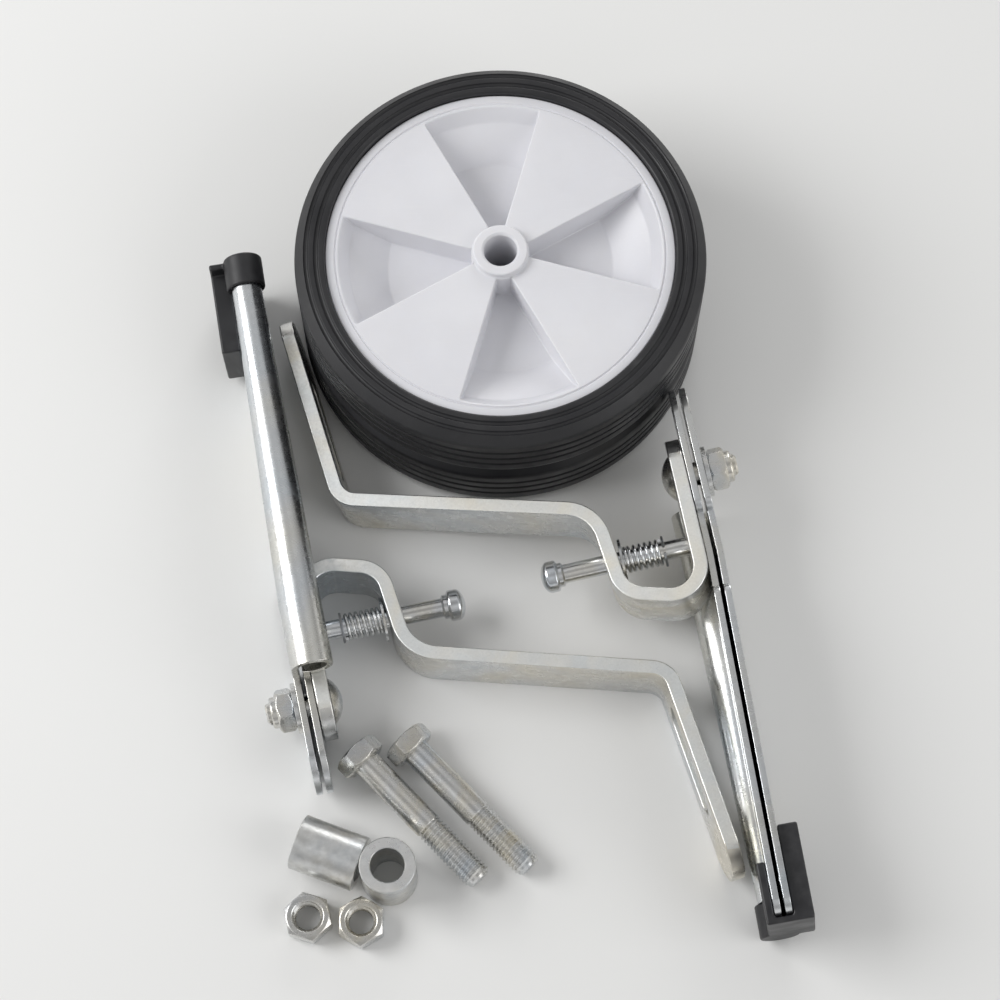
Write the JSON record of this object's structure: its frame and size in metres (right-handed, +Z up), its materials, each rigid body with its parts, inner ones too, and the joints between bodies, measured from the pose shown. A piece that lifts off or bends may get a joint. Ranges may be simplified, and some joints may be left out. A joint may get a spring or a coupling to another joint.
{
  "type": "bicycle training wheel set",
  "caption": "Flip-up training wheels: rubber-tyred plastic wheels in a stack, bent steel axle brackets with folded arms on pull pins, and loose axle hardware.",
  "frame": {"origin": "centre of the bounding box on the floor that the set lies on", "axes": "+Z up from the floor, +Y away from the viewer and along the arms, +X to the viewer's right"},
  "size_m": [0.192, 0.2942, 0.058],
  "materials": {
    "tyre_rubber": "matte black with moulded grooves",
    "disc_plastic": "white, satin, slightly translucent",
    "bracket_zinc": "bright zinc plated strip, sheared edges",
    "arm_zinc": "bright zinc plated folded sheet",
    "cap_plastic": "black, fine grain",
    "bolt_zinc": "bright zinc plated",
    "pin_zinc": "bright zinc plated, turned",
    "spring_wire": "bright drawn wire",
    "clip_steel": "dark spring steel",
    "sleeve_steel": "zinc plated tube, cut ends bright"
  },
  "bodies": {
    "set": {"wheel_upper_tyre": "tyre_rubber", "wheel_upper_disc": "disc_plastic", "wheel_lower_tyre": "tyre_rubber", "wheel_lower_disc": "disc_plastic", "bracket_right": "bracket_zinc", "pivot_bolt_right": "bolt_zinc", "pivot_washer_right": "bolt_zinc", "pivot_nut_right": "bolt_zinc", "pin_spring_right": "spring_wire", "pin_washer_right": "bolt_zinc", "bracket_left": "bracket_zinc", "pivot_bolt_left": "bolt_zinc", "pivot_washer_left": "bolt_zinc", "pivot_nut_left": "bolt_zinc", "pin_spring_left": "spring_wire", "pin_washer_left": "bolt_zinc", "axle_bolt_1": "bolt_zinc", "axle_bolt_2": "bolt_zinc", "axle_nut_1": "bolt_zinc", "axle_nut_2": "bolt_zinc", "spacer_sleeve_1": "sleeve_steel", "spacer_sleeve_2": "sleeve_steel"},
    "arm_right": {"arm_right": "arm_zinc", "arm_cap_right": "cap_plastic"},
    "arm_left": {"arm_left": "arm_zinc", "arm_cap_left": "cap_plastic"},
    "pin_right": {"pull_pin_right": "pin_zinc", "pin_clip_right": "clip_steel"},
    "pin_left": {"pull_pin_left": "pin_zinc", "pin_clip_left": "clip_steel"}
  },
  "joints": [
    {"name": "arm_right_flip", "type": "hinge", "parent": "set", "child": "arm_right", "pos_m": [0.06063, 0.00597, 0.0269], "axis": [0.9814, 0.1519, 0.1177], "range_deg": [0, 85]},
    {"name": "pin_right_push", "type": "slide", "parent": "set", "child": "pin_right", "axis": [0.9814, 0.1519, 0.1177], "range_m": [0, 0.0068], "stiffness_N_per_m": 400, "springref_m": 0.0136, "deforming": ["pin_spring_right"]},
    {"name": "arm_left_flip", "type": "hinge", "parent": "set", "child": "arm_left", "pos_m": [-0.06107, -0.06273, 0.0127], "axis": [0.9863, 0.165, 0], "range_deg": [0, 100]},
    {"name": "pin_left_push", "type": "slide", "parent": "set", "child": "pin_left", "axis": [-0.9863, -0.165, 0], "range_m": [0, 0.0068], "stiffness_N_per_m": 400, "springref_m": 0.0136, "deforming": ["pin_spring_left"]}
  ]
}
